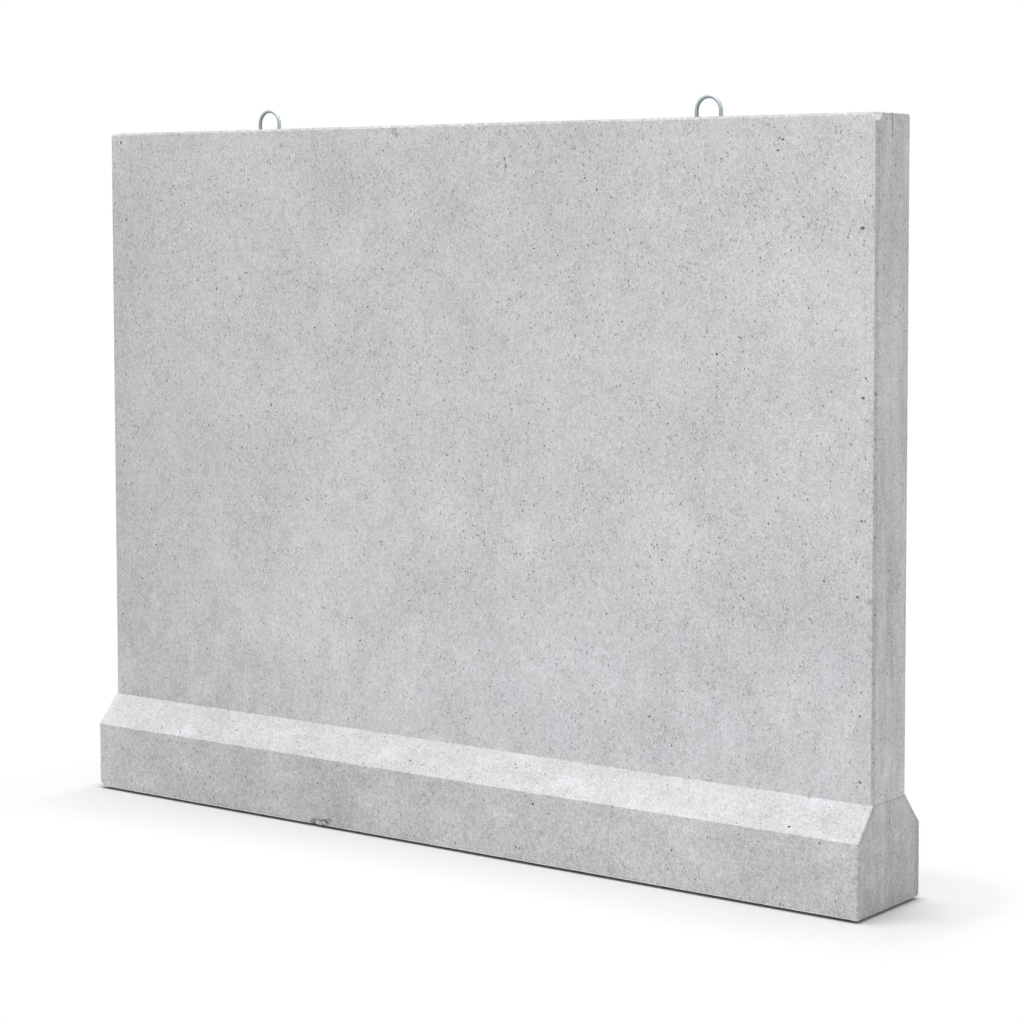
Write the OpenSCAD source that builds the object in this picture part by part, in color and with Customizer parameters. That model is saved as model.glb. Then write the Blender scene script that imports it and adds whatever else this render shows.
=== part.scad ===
// Free-standing precast concrete wall element on a haunched foot.
// Millimetres, +Z up, +X along the wall, -Y towards the front.
// The origin is on the floor, under the middle of the foot.

/* [Wall] */
// Length of the element, end face to end face
wall_len = 3990; // [2400:10:6000]
// Height of the casting, from the sole of the foot to the top of the stem
casting_h = 3000; // [1500:10:4500]
// Thickness of the stem
stem_t = 250; // [180:5:380]
// Width of the chamfer on the stem's top and on the upright corners
arris = 10; // [5:1:25]
// Width of the chamfer on the other edges of the end faces
end_arris = 3; // [1:0.5:5]

/* [Foot] */
// Width of the foot, front to back
foot_w = 475; // [420:5:1200]
// Height of the foot's upright sides, above its sole
foot_side_h = 290; // [150:5:500]
// Rise of the sloping haunch, from the foot's side to the stem's face
haunch_h = 125; // [40:5:300]
// Width of the chamfer round the sole
sole_arris = 8; // [2:1:20]

/* [Bearing mat] */
// Thickness of the mat under the foot
mat_t = 10; // [5:1:30]
// Distance that the mat lies back from the edges of the sole
mat_inset = 30; // [10:1:80]

/* [Lifting loops] */
// Diameter of the bar that the loops are bent from
bar_d = 16; // [10:1:24]
// Distance between the two legs of a loop, centre to centre
leg_spacing = 112; // [80:1:200]
// Height of a loop's crown above the top of the stem
loop_rise = 92; // [80:1:250]
// Middle of the left loop, from the left end of the wall
loop_inset_left = 870; // [420:5:1150]
// Middle of the right loop, from the right end of the wall
loop_inset_right = 820; // [420:5:1150]
// Depth of the hooks' tails below the top of the stem
loop_depth = 450; // [250:10:900]
// Radius of the hooks' bends, to the middle of the bar
hook_r = 48; // [32:1:80]
// Straight tail after the bend of each hook
hook_tail = 150; // [60:5:200]
// Gap left all round a cast-in bar
cast_gap = 0.2; // [0.1:0.05:0.3]

/* [Hidden] */
$fn = 64;

// Levels, from the floor up
sole_z = mat_t;
side_top_z = sole_z + foot_side_h;
haunch_top_z = side_top_z + haunch_h;
stem_top_z = sole_z + casting_h;

// Places along the wall
end_x = wall_len / 2;
loop_left_x = -end_x + loop_inset_left;
loop_right_x = end_x - loop_inset_right;

// A loop: the middle of its crown, and the level where its hooks begin
crown_r = leg_spacing / 2;
crown_z = stem_top_z + loop_rise - bar_d / 2 - crown_r;
tail_z = stem_top_z - loop_depth;
hook_top_z = tail_z + hook_r;

// Corners of the wall's cross section, on its +Y side, as [y, z]
sole_edge = [foot_w / 2 - sole_arris, sole_z];
side_foot = [foot_w / 2, sole_z + sole_arris];
side_head = [foot_w / 2, side_top_z];
haunch_head = [stem_t / 2, haunch_top_z];
stem_arris = [stem_t / 2, stem_top_z - arris];
top_edge = [stem_t / 2 - arris, stem_top_z];

// The same corner on the -Y side
function across(p) = [-p[0], p[1]];

// Both signs of X, and both signs of Y, of the shape given
module both_ends() {
    for (m = [0, 1])
        mirror([m, 0, 0])
            children();
}

module both_sides() {
    for (m = [0, 1])
        mirror([0, m, 0])
            children();
}

// The full length of a cross section given as [y, z] points
module run_of_wall(section) {
    translate([-end_x, 0, 0])
        rotate([90, 0, 90])
            linear_extrude(height = wall_len)
                polygon(section);
}

// A wedge that takes the arris off the right end face along the edge from
// a to b, which runs anticlockwise round the section. It cuts size off the
// end face and size off the side, and runs on past both ends of the edge.
module end_wedge(a, b, size) {
    edge = b - a;
    along = edge / norm(edge);
    start = a - 2 * size * along;
    translate([end_x, start[0], start[1]])
        rotate([atan2(-along[0], along[1]), 0, 0])
            linear_extrude(height = norm(edge) + 4 * size)
                polygon([[size, size], [-2 * size, size], [size, -2 * size]]);
}

// Bar of a lifting loop: the crown, and two legs that end in hooks turned
// away from each other. With a gap it is the channel that the bar fills.
module loop_bar(x, gap = 0) {
    d = bar_d + 2 * gap;
    translate([x, 0, 0]) {
        translate([0, 0, crown_z])
            rotate([90, 0, 0])
                rotate_extrude(angle = 180)
                    translate([crown_r, 0])
                        circle(d = d);
        both_ends()
            hooked_leg(d, hook_tail + gap);
    }
}

module hooked_leg(d, tail) {
    translate([crown_r, 0, hook_top_z])
        cylinder(h = crown_z - hook_top_z, d = d);
    translate([crown_r + hook_r, 0, hook_top_z])
        rotate([90, 0, 0])
            rotate([0, 0, 180])
                rotate_extrude(angle = 90)
                    translate([hook_r, 0])
                        circle(d = d);
    translate([crown_r + hook_r, 0, tail_z])
        rotate([0, 90, 0])
            cylinder(h = tail, d = d);
}

// First pour: the foot with its haunch, up to the level joint under the stem
module wall_foot() {
    section = [
        sole_edge, side_foot, side_head, haunch_head,
        across(haunch_head), across(side_head), across(side_foot), across(sole_edge)
    ];
    color("#b9bab8")
        difference() {
            run_of_wall(section);
            both_ends() {
                end_wedge(across(sole_edge), sole_edge, sole_arris);
                both_sides() {
                    end_wedge(side_foot, side_head, arris);
                    end_wedge(side_head, haunch_head, end_arris);
                }
            }
        }
}

// Second pour: the upright stem, cast round the legs of the loops
module wall_stem() {
    section = [
        haunch_head, stem_arris, top_edge,
        across(top_edge), across(stem_arris), across(haunch_head)
    ];
    color("#c8c8c6")
        difference() {
            run_of_wall(section);
            both_ends() {
                end_wedge(top_edge, across(top_edge), end_arris);
                both_sides()
                    end_wedge(haunch_head, stem_arris, arris);
            }
            loop_bar(loop_left_x, cast_gap);
            loop_bar(loop_right_x, cast_gap);
        }
}

module lifting_loop_left() {
    color("#9aa4ab")
        loop_bar(loop_left_x);
}

module lifting_loop_right() {
    color("#9aa4ab")
        loop_bar(loop_right_x);
}

// Rubber mat that the foot beds on, set back from the edges of the sole
module bearing_mat() {
    mat_len = wall_len - 2 * mat_inset;
    mat_w = foot_w - 2 * mat_inset;
    color("#33332f")
        translate([-mat_len / 2, -mat_w / 2, 0])
            cube([mat_len, mat_w, mat_t]);
}

wall_foot();
wall_stem();
lifting_loop_left();
lifting_loop_right();
bearing_mat();
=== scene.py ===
"""Finishes of a free-standing precast concrete wall element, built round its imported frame.

The two pours get their worn arrises, chips and blowholes, the lifting loops their zinc and
the bearing mat its bonded crumb. Sizes are in metres and come from the frame wherever it
holds them.
"""

import math
import random

import bmesh
import bpy
from mathutils import Matrix, Quaternion, Vector


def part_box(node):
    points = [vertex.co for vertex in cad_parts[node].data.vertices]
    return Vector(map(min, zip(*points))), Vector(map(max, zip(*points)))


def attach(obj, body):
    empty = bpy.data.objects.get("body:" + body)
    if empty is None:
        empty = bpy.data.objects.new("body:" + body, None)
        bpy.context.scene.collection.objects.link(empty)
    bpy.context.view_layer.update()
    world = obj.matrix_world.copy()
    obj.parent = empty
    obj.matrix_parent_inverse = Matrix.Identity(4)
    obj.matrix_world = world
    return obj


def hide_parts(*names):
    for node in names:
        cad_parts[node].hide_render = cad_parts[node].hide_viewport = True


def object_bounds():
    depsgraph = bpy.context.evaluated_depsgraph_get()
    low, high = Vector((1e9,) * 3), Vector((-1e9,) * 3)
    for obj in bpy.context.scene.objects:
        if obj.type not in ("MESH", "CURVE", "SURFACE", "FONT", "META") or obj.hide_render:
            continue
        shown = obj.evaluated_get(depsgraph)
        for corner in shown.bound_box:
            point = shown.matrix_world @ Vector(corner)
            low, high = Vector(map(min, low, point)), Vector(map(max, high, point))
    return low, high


bl_info = {
    "name": "Precast Wall Finishes",
    "version": (1, 0, 0),
    "blender": (4, 5, 0),
    "location": "3D View > Sidebar > Precast Wall",
    "description": "Dresses a precast wall element: concrete, lifting loops and bearing mat",
    "category": "Object",
}

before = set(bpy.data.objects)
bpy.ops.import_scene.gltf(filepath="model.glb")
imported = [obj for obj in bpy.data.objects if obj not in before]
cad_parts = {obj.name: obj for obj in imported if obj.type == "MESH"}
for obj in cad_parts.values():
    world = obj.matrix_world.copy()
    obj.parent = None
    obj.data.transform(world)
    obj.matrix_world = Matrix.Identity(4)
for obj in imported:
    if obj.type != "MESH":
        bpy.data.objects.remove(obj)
CAD_LOW, CAD_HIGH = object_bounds()

MM = 0.001
BODY = "root"

STEM_LOW, STEM_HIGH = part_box("wall_stem")
FOOT_LOW, FOOT_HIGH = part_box("wall_foot")
LOOPS = ("lifting_loop_left", "lifting_loop_right")
LOOP_MIDDLES = [sum(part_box(loop), Vector()).x / 2 for loop in LOOPS]
CROWN_RADIUS = 56 * MM        # from the middle of a loop's bend to the middle of its bar


def height_of_face(node, half_width):
    """The top of a CAD node's upright face that stands half_width from the middle."""
    touching = 0.1 * MM
    return max(v.co.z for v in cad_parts[node].data.vertices
               if abs(v.co.y) > half_width - touching)


HAUNCH_FOOT = height_of_face("wall_foot", FOOT_HIGH.y)
ARRIS = STEM_HIGH.z - height_of_face("wall_stem", STEM_HIGH.y)
FOOT_ARRIS = 5 * MM           # an upright arris of the foot
SOLE_ARRIS = 5 * MM
END_ARRIS = 3 * MM            # where the top or the haunch meets an end face
CLEAR_OF_ARRIS = 2.5 * ARRIS  # blowholes keep this far from the edge of a face
STRIP = 0.16                  # the castings are scored into strips of about this width

# Knocked-off corners: which end, which side and the reach along the wall.
STEM_CORNERS = ((1, -1, 42 * MM), (1, 1, 28 * MM), (-1, -1, 28 * MM), (-1, 1, 27 * MM))
SOLE_CORNERS = ((1, -1, 22 * MM), (1, 1, 21 * MM), (-1, -1, 34 * MM), (-1, 1, 26 * MM))

# Marks on the front of the stem: x, height, half their width, and how tall they are for it.
PIN_MARKS = (
    (1.937, 0.508, 0.007, 0.75), (1.935, 0.758, 0.006, 0.75), (1.940, 0.849, 0.005, 0.75),
    (1.921, 1.206, 0.007, 0.85), (1.936, 1.492, 0.006, 0.75), (1.939, 1.952, 0.008, 0.75),
    (1.932, 2.582, 0.010, 0.70), (-1.927, 1.510, 0.006, 0.75), (-1.896, 2.616, 0.006, 0.75),
    (-1.925, 2.968, 0.006, 1.3), (-1.948, 0.800, 0.006, 1.0), (0.270, 2.862, 0.004, 2.0),
    (0.276, 2.832, 0.005, 2.4), (-0.560, 0.905, 0.006, 0.8),
)
# Where mortar has spalled from the bottom arris of the foot's front.
SPALLS = ((-0.672, 0.018, 0.034, 0.6), (-0.648, 0.019, 0.030, 0.6),
          (-0.618, 0.028, 0.024, 0.6), (-0.596, 0.040, 0.014, 0.6))
# Stains on the front of the stem: x, height, radius and strength.
STAINS = ((-0.312, 2.992, 0.020, 0.50), (-0.296, 2.972, 0.016, 0.55),
          (-0.930, 1.235, 0.050, 0.20), (1.975, 1.190, 0.018, 0.50),
          (1.20, 1.52, 0.10, 0.07), (-1.90, 0.95, 0.16, 0.07))
# Paler and darker clouds on the front of the stem: x, height, radius and lift.
CLOUDS = ((1.08, 1.38, 0.36, 0.13), (1.48, 2.45, 0.32, 0.10), (-0.05, 1.36, 0.27, 0.08),
          (-1.05, 1.85, 0.45, 0.06), (-0.23, 2.15, 0.28, 0.06), (-1.67, 1.16, 0.28, 0.08),
          (0.36, 1.31, 0.24, 0.08), (-0.67, 2.72, 0.27, -0.08), (0.0, 2.78, 0.30, -0.06),
          (1.82, 2.05, 0.22, -0.07), (-1.76, 0.76, 0.24, -0.06), (-1.30, 0.78, 0.26, -0.06))

# Tones that belong to a mark or a kind of wear.
PIN_MARK_TONE = (0.29, 0.285, 0.275)
SPALL_TONE = (0.47, 0.445, 0.405)
FILM_TONE = (0.36, 0.335, 0.295)
STAIN_TONE = (0.26, 0.235, 0.195)
BRUISE_TONE = (0.75, 0.75, 0.74)
DIRT_TONE = (0.26, 0.24, 0.205)
# Seams and joints, and the painted shade of the upright chamfers.
CREVICE_AND_SHADE_TONE = (0.10, 0.098, 0.09)
GREY_CRUMB_TONE = (0.07, 0.07, 0.068)
WHITE = (1.0, 1.0, 1.0)
COOLING = (1.0, 1.005, 1.04)  # what a cool cast multiplies red, green and blue by

FLOOR_SIDE = 80
SENSOR_WIDTH = 36             # millimetres

# The grid on which a tree's nodes are laid out.
NODES_IN_COLUMN = 4
NODE_COLUMN_WIDTH = 220
NODE_ROW_HEIGHT = 260


# ---------------------------------------------------------------------------
# What a user would change
# ---------------------------------------------------------------------------

class ConcreteSettings(bpy.types.PropertyGroup):
    """Tone and wear of the two pours."""
    stem_tone: bpy.props.FloatVectorProperty(
        name="Stem tone", description="Mean colour of the stem's concrete",
        default=(0.65, 0.65, 0.653), subtype="COLOR", min=0, max=1)
    foot_tone: bpy.props.FloatVectorProperty(
        name="Foot tone", description="Mean colour of the foot's concrete",
        default=(0.615, 0.615, 0.617), subtype="COLOR", min=0, max=1)
    # The haunch's lift is painted light, and the pale line along the sole is a painted
    # highlight.
    haunch_lift: bpy.props.FloatProperty(
        name="Haunch lift", description="How much painted light lifts the haunch above the foot",
        default=0.035, min=0, max=1)
    sole_highlight: bpy.props.FloatProperty(
        name="Sole highlight", description="How much paler the painted highlight along the foot's sole is",
        default=0.35, min=0, max=1)
    # The darkening of the stem's top is painted shade.
    top_shade: bpy.props.FloatProperty(
        name="Painted top shade", description="How much painted shade darkens the stem's top",
        default=0.42, min=0, max=1)
    # The dark inside blowholes and pinholes is painted shade.
    hole_shade_tone: bpy.props.FloatVectorProperty(
        name="Blowhole lining", description="Painted shade inside the blowholes and pinholes",
        default=(0.11, 0.107, 0.10), subtype="COLOR", min=0, max=1)
    rim_width: bpy.props.FloatProperty(
        name="Rim", description="Width of the band beside an arris that wear reaches",
        default=5 * MM, unit="LENGTH", min=2 * MM, max=30 * MM)
    rim_pitch: bpy.props.FloatProperty(
        name="Rim pitch", description="Distance between the points along a worn arris",
        default=7 * MM, unit="LENGTH", min=3 * MM, max=50 * MM)
    arris_loss: bpy.props.FloatProperty(
        name="Arris loss", description="Most that an arris has lost to knocks",
        default=1.5 * MM, unit="LENGTH", min=0, max=10 * MM)
    holes_per_square_metre: bpy.props.FloatProperty(
        name="Blowholes", description="Open blowholes in a square metre of face",
        default=60, min=0, max=200)
    hole_smallest: bpy.props.FloatProperty(
        name="Smallest blowhole", description="Radius of the smallest modelled blowhole",
        default=2.1 * MM, unit="LENGTH", min=0.5 * MM, max=5 * MM)
    hole_largest: bpy.props.FloatProperty(
        name="Largest blowhole", description="Radius of the largest blowhole",
        default=5 * MM, unit="LENGTH", min=1 * MM, max=12 * MM)
    chips_per_metre: bpy.props.FloatProperty(
        name="Chips", description="Chips in a metre of arris",
        default=1.2, min=0, max=30)
    seed: bpy.props.IntProperty(
        name="Seed", description="Start of the random places of holes and chips",
        default=11, min=0)


class FittingSettings(bpy.types.PropertyGroup):
    """Finish of the loops and the mat."""
    zinc_tone: bpy.props.FloatVectorProperty(
        name="Zinc", description="Colour of the galvanised bar",
        default=(0.53, 0.615, 0.66), subtype="COLOR", min=0, max=1)
    zinc_roughness: bpy.props.FloatProperty(
        name="Zinc roughness", description="Mean roughness of the galvanised bar",
        default=0.5, subtype="FACTOR", min=0, max=1)
    crumb_size: bpy.props.FloatProperty(
        name="Crumb size", description="Size of the rubber crumb in the mat",
        default=3 * MM, unit="LENGTH", min=0.5 * MM, max=10 * MM)
    # The mat's black partly stands in for the shadow under the foot, as painted shadow.
    rubber_and_shade_tone: bpy.props.FloatVectorProperty(
        name="Rubber", description="Colour of the mat's crumb",
        default=(0.02, 0.02, 0.021), subtype="COLOR", min=0, max=1)


class StageSettings(bpy.types.PropertyGroup):
    """Floor, lamps and camera."""
    floor_tone: bpy.props.FloatVectorProperty(
        name="Floor", description="Colour of the floor",
        default=(0.68, 0.68, 0.68), subtype="COLOR", min=0, max=1)
    daylight: bpy.props.FloatProperty(
        name="Daylight", description="Strength of the even light from all round",
        default=0.36, min=0, max=3)
    ceiling_power: bpy.props.FloatProperty(
        name="Ceiling lamp", description="Power of the large lamp overhead",
        default=1965, unit="POWER", min=0)
    side_power: bpy.props.FloatProperty(
        name="Side lamp", description="Power of the smaller lamp at the right end",
        default=17, unit="POWER", min=0)
    lens: bpy.props.FloatProperty(
        name="Lens", description="Focal length on a 36 mm wide sensor",
        default=93.305, subtype="DISTANCE_CAMERA", min=10, max=500)
    camera_place: bpy.props.FloatVectorProperty(
        name="Camera place", description="Where the camera stands",
        default=(6.8165, -8.7581, 2.6229), subtype="TRANSLATION", unit="LENGTH")
    camera_turn: bpy.props.FloatVectorProperty(
        name="Camera turn", description="The camera's tilt, roll and heading",
        default=(math.radians(86.2435), math.radians(0.106), math.radians(37.0116)),
        subtype="EULER", unit="ROTATION")
    camera_drop: bpy.props.FloatProperty(
        name="Camera drop", description="How far the frame is shifted down, in widths of it",
        default=0.1172, min=0, max=1)


# ---------------------------------------------------------------------------
# Node groups
# ---------------------------------------------------------------------------

def feed(tree, socket, value):
    """Links a socket to the one that holds its value, or sets it to a plain value."""
    if isinstance(value, bpy.types.NodeSocket):
        tree.links.new(value, socket)
    else:
        socket.default_value = value


def add_node(tree, kind, values=None, **settings):
    """Adds a node. Each value is a socket to link from, or a plain value to set."""
    node = tree.nodes.new(kind)
    column, row = divmod(len(tree.nodes), NODES_IN_COLUMN)
    node.location = (column * NODE_COLUMN_WIDTH, -row * NODE_ROW_HEIGHT)
    for name, setting in settings.items():
        setattr(node, name, setting)
    for socket, value in (values or {}).items():
        feed(tree, node.inputs[socket], value)
    return node


def maths(tree, operation, *values, clamp=False):
    """The result of a Math node on one or two values."""
    node = add_node(tree, "ShaderNodeMath", dict(enumerate(values)),
                    operation=operation, use_clamp=clamp)
    return node.outputs[0]


def folded(tree, operation, values):
    """Several values brought together by Math nodes, from the first to the last."""
    result, *others = values
    for value in others:
        result = maths(tree, operation, result, value)
    return result


def total(tree, *values):
    """The sum of the values."""
    return folded(tree, "ADD", values)


def product(tree, *values):
    """The product of the values."""
    return folded(tree, "MULTIPLY", values)


def greatest(tree, *values):
    """The greatest of the values."""
    return folded(tree, "MAXIMUM", values)


def least(tree, *values):
    """The least of the values."""
    return folded(tree, "MINIMUM", values)


def minus(tree, value, taken):
    """A value with another taken from it."""
    return maths(tree, "SUBTRACT", value, taken)


def ratio(tree, value, divisor):
    """A value divided by another."""
    return maths(tree, "DIVIDE", value, divisor)


def unsigned(tree, value):
    """A value without its sign."""
    return maths(tree, "ABSOLUTE", value)


def centred(tree, value):
    """A value from 0 to 1, moved to average zero."""
    return minus(tree, value, 0.5)


def remap(tree, value, low, high, to_low=0.0, to_high=1.0, shape="LINEAR"):
    """The value brought from one range to another, and held inside it."""
    node = add_node(tree, "ShaderNodeMapRange",
                    {"Value": value, "From Min": low, "From Max": high,
                     "To Min": to_low, "To Max": to_high}, interpolation_type=shape)
    return node.outputs[0]


def scaled(tree, vector, factors):
    """The vector with each of its parts multiplied by a factor."""
    node = add_node(tree, "ShaderNodeVectorMath", {0: vector, 1: factors},
                    operation="MULTIPLY")
    return node.outputs[0]


def apart(tree, point, other):
    """How far one point is from another."""
    node = add_node(tree, "ShaderNodeVectorMath", {0: point, 1: other},
                    operation="DISTANCE")
    return node.outputs["Value"]


def parts(tree, vector):
    """The three parts of a vector."""
    return add_node(tree, "ShaderNodeSeparateXYZ", {0: vector}).outputs


def surface_normal(tree, kind="True Normal"):
    """The three parts of the way that the surface faces."""
    return parts(tree, add_node(tree, "ShaderNodeNewGeometry").outputs[kind])


def noise(tree, vector, scale, detail=2.0, roughness=0.5):
    """Plain noise from 0 to 1."""
    node = add_node(tree, "ShaderNodeTexNoise",
                    {"Vector": vector, "Scale": scale, "Detail": detail,
                     "Roughness": roughness})
    return node.outputs["Fac"]


def wander(tree, along, scale, detail, reach):
    """A line's wandering off true, as a function of the place along it."""
    node = add_node(tree, "ShaderNodeTexNoise",
                    {"W": along, "Scale": scale, "Detail": detail}, noise_dimensions="1D")
    return product(tree, centred(tree, node.outputs["Fac"]), reach)


def crystals(tree, vector, scale):
    """Irregular cells: the Distance from the middle of each, and its random Color."""
    return add_node(tree, "ShaderNodeTexVoronoi",
                    {"Vector": vector, "Scale": scale, "Randomness": 1.0},
                    feature="F1").outputs


def new_group(name, inputs, outputs):
    """An empty shader node group, with the sockets of what is given and what results.

    An input is its label, its kind and its default, and an output is its label.
    """
    group = bpy.data.node_groups.new(name, "ShaderNodeTree")
    for label, kind, default in inputs:
        socket = group.interface.new_socket(name=label, in_out="INPUT",
                                            socket_type="NodeSocket" + kind)
        if default is not None:
            socket.default_value = default
    for label in outputs:
        group.interface.new_socket(name=label, in_out="OUTPUT",
                                   socket_type="NodeSocketFloat")
    given = group.nodes.new("NodeGroupInput").outputs
    result = group.nodes.new("NodeGroupOutput").inputs
    return group, given, result


def use_group(tree, name, **values):
    """Places a node group in a tree. Underscores in the keywords stand for spaces."""
    node = add_node(tree, "ShaderNodeGroup", node_tree=bpy.data.node_groups[name])
    node.label = name
    for label, value in values.items():
        feed(tree, node.inputs[label.replace("_", " ")], value)
    return node.outputs


def make_cloud_group():
    """Soft patches, the largest about a given size across, as a value that averages zero."""
    group, given, result = new_group(
        "Cloudy patches",
        [("Position", "Vector", None), ("Patch Size", "Float", 0.3),
         ("Stretch", "Vector", (1, 1, 1)), ("Detail", "Float", 3.0),
         ("Contrast", "Float", 0.1)],
        ["Value"])
    patches = noise(group, scaled(group, given["Position"], given["Stretch"]),
                    ratio(group, 1.0, given["Patch Size"]),
                    detail=given["Detail"], roughness=0.62)
    feed(group, result["Value"], product(group, centred(group, patches), given["Contrast"]))


def make_skin_group():
    """The cast skin: sand grain, cement speckle and pinholes too small and many to model."""
    group, given, result = new_group(
        "Cast skin",
        [("Position", "Vector", None), ("Grain Size", "Float", 0.0085),
         ("Contrast", "Float", 0.5), ("Hole Size", "Float", 0.0044),
         ("Hole Share", "Float", 0.05)],
        ["Value", "Holes", "Height"])
    scale = ratio(group, 1.0, given["Grain Size"])
    worms = noise(group, given["Position"], product(group, scale, 1.3),
                  detail=1.0, roughness=0.65)
    drawn_out = scaled(group, given["Position"], (1.0, 1.0, 0.66))
    cells = crystals(group, drawn_out, scale)
    grey_draw, hole_draw, size_draw = parts(group, cells["Color"])
    sand = total(group, product(group, centred(group, worms), 1.4),
                 product(group, centred(group, grey_draw), 0.35))
    present = maths(group, "LESS_THAN", hole_draw, given["Hole Share"])
    faint = remap(group, ratio(group, hole_draw, given["Hole Share"]), 0, 1, 1.0, 0.35)
    size = product(group, given["Hole Size"], remap(group, size_draw, 0, 1, 0.5, 1.3))
    inside = minus(group, size, product(group, cells["Distance"], given["Grain Size"]))
    soft = maths(group, "DIVIDE", inside, product(group, size, 0.5), clamp=True)
    holes = product(group, soft, present, faint)
    feed(group, result["Value"], product(group, sand, given["Contrast"]))
    feed(group, result["Holes"], holes)
    feed(group, result["Height"], minus(group, product(group, sand, 0.4), holes))


def make_stroke_group():
    """Short curling marks that the mould's film left: fine dark lines and softer pale ones."""
    group, given, result = new_group(
        "Film marks",
        [("Position", "Vector", None), ("Size", "Float", 0.018), ("Spread", "Float", 0.05)],
        ["Dark", "Pale"])
    curls = noise(group, given["Position"], ratio(group, 1.0, given["Size"]), detail=1.0)
    where = noise(group, given["Position"], ratio(group, 1.0, given["Spread"]), detail=0.0)
    dark = remap(group, unsigned(group, minus(group, curls, 0.5)), 0.02, 0.035, 1.0, 0.0)
    pale = remap(group, unsigned(group, minus(group, curls, 0.57)), 0.02, 0.06, 1.0, 0.0)
    feed(group, result["Dark"], product(group, dark, remap(group, where, 0.55, 0.65)))
    feed(group, result["Pale"], product(group, pale, remap(group, where, 0.56, 0.44)))


def make_edge_group():
    """How far a point of the surface lies from the nearest arris of a long block."""
    group, given, result = new_group(
        "Arris distance",
        [("Position", "Vector", None), ("Half Length", "Float", 2.0),
         ("Half Width", "Float", 0.125), ("Top", "Float", 3.0)],
        ["Distance", "From Upright", "On End"])
    x, y, z = parts(group, given["Position"])
    from_end = minus(group, given["Half Length"], unsigned(group, x))
    from_side = minus(group, given["Half Width"], unsigned(group, y))
    from_top = minus(group, given["Top"], z)
    corner = total(group, from_end, from_side)
    top_side = total(group, from_side, from_top)
    top_end = total(group, from_end, from_top)
    feed(group, result["Distance"], least(group, corner, top_side, top_end))
    feed(group, result["From Upright"], corner)
    feed(group, result["On End"], maths(group, "LESS_THAN", from_end, 2 * MM))


def make_wear_group():
    """Pale and dark flecks along an arris, thinning out away from it."""
    group, given, result = new_group(
        "Arris wear",
        [("Position", "Vector", None), ("Distance", "Float", 0.1), ("Reach", "Float", 0.02)],
        ["Pale", "Dark"])
    near = remap(group, ratio(group, given["Distance"], given["Reach"]),
                 0.45, 1.0, 1.0, 0.0, "SMOOTHSTEP")
    flecks = noise(group, given["Position"], 95.0, detail=1.0, roughness=0.6)
    feed(group, result["Pale"], product(group, near, remap(group, flecks, 0.62, 0.75)))
    feed(group, result["Dark"], product(group, near, remap(group, flecks, 0.38, 0.25)))


def make_seam_group():
    """The mould's seam down the middle of an end face, and the joint between the pours."""
    group, given, result = new_group(
        "Mould seam",
        [("Position", "Vector", None), ("Half Length", "Float", 2.0),
         ("Joint Height", "Float", 0.4), ("Top", "Float", 3.0),
         ("Line Width", "Float", 0.0065)],
        ["Seam", "Joint"])
    x, y, z = parts(group, given["Position"])
    on_end = maths(group, "GREATER_THAN", unsigned(group, x),
                   minus(group, given["Half Length"], 4 * MM))
    below_top = minus(group, given["Top"], z)
    below_joint = minus(group, given["Joint Height"], z)
    drift = total(group, wander(group, z, 7.0, 3.0, 0.03), product(group, below_joint, 0.008))
    beside = unsigned(group, minus(group, y, drift))
    line = remap(group, ratio(group, beside, given["Line Width"]), 0.3, 0.7, 1.0, 0.0)
    at_top = remap(group, below_top, 0.07, 0.14, 1.0, 0.0)
    at_joint = product(group, remap(group, below_joint, 0.07, 0.12, 1.0, 0.0),
                       maths(group, "GREATER_THAN", below_joint, 0.0))
    dashes = remap(group, wander(group, z, 45.0, 2.0, 1.0), -0.06, 0.06)
    broken = product(group, greatest(group, at_top, at_joint), greatest(group, dashes, 0.2))
    solid = remap(group, below_top, 0.066, 0.074, 1.0, 0.0)
    strength = greatest(group, broken, solid, 0.05)
    wave = wander(group, y, 9.0, 2.0, 0.009)
    off_joint = unsigned(group, minus(group, below_joint, wave))
    crack = remap(group, ratio(group, off_joint, given["Line Width"]), 0.25, 0.5, 1.0, 0.0)
    feed(group, result["Seam"], product(group, line, strength, on_end))
    feed(group, result["Joint"], product(group, crack, on_end))


def make_stain_group():
    """A stain with a ragged edge that fades outwards from its middle."""
    group, given, result = new_group(
        "Stain",
        [("Position", "Vector", None), ("Middle", "Vector", (0, 0, 0)),
         ("Radius", "Float", 0.03)],
        ["Amount"])
    ragged = product(group, centred(group, noise(group, given["Position"], 70.0)), 1.6)
    share = total(group, ragged, ratio(
        group, apart(group, given["Position"], given["Middle"]), given["Radius"]))
    feed(group, result["Amount"], remap(group, share, 1.0, 0.3, 0.0, 1.0, "SMOOTHSTEP"))


def make_soft_patch_group():
    """A broad patch that fades out from its middle, with an uneven edge."""
    group, given, result = new_group(
        "Soft patch",
        [("Position", "Vector", None), ("Middle", "Vector", (0, 0, 0)),
         ("Radius", "Float", 0.3), ("Unevenness", "Float", 0.0)],
        ["Amount"])
    share = total(group, given["Unevenness"], ratio(
        group, apart(group, given["Position"], given["Middle"]), given["Radius"]))
    feed(group, result["Amount"], remap(group, share, 1.0, 0.1, 0.0, 1.0, "SMOOTHSTEP"))


def make_node_groups():
    """Builds every shared effect once."""
    make_soft_patch_group()
    make_stain_group()
    make_cloud_group()
    make_skin_group()
    make_stroke_group()
    make_edge_group()
    make_wear_group()
    make_seam_group()


# ---------------------------------------------------------------------------
# Materials
# ---------------------------------------------------------------------------

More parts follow.
